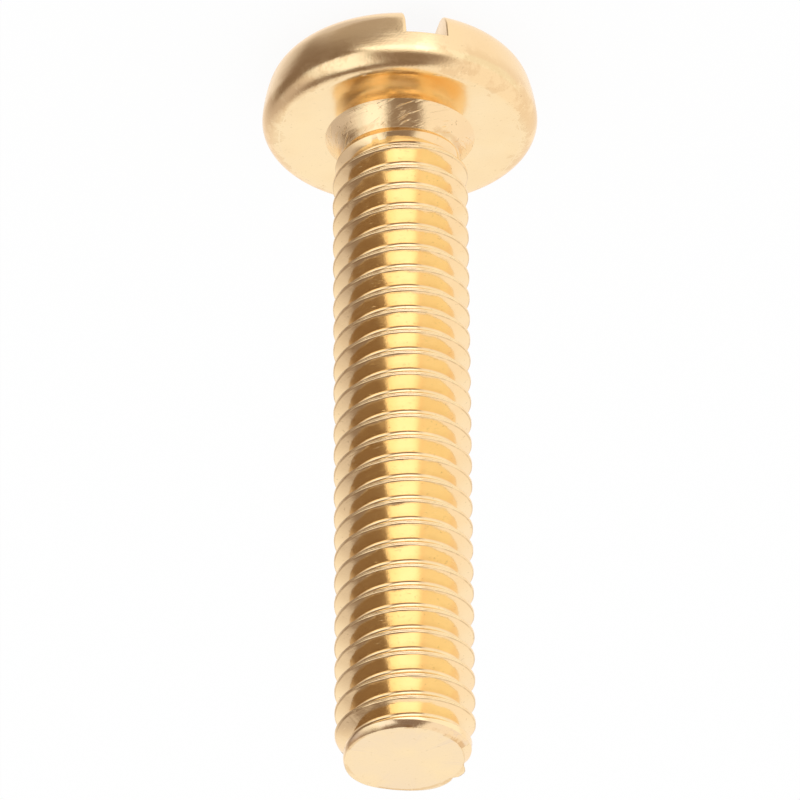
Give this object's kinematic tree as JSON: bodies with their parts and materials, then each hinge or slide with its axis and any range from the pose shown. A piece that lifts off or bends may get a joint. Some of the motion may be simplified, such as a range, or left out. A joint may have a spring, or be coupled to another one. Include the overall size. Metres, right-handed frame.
{
  "type": "pan head machine screw",
  "caption": "Brass machine screw with a slotted pan head, a short flared neck and a metric thread along its shank to a chamfered tip.",
  "frame": {"origin": "middle of the head's flat top, on the surface that the screw stands on", "axes": "+Z along the screw's axis towards its tip, +Y away from the picture's camera"},
  "size_m": [0.008, 0.008, 0.0229],
  "materials": {
    "brass": "bright polished brass"
  },
  "bodies": {
    "root": {"screw": "brass"}
  },
  "joints": []
}
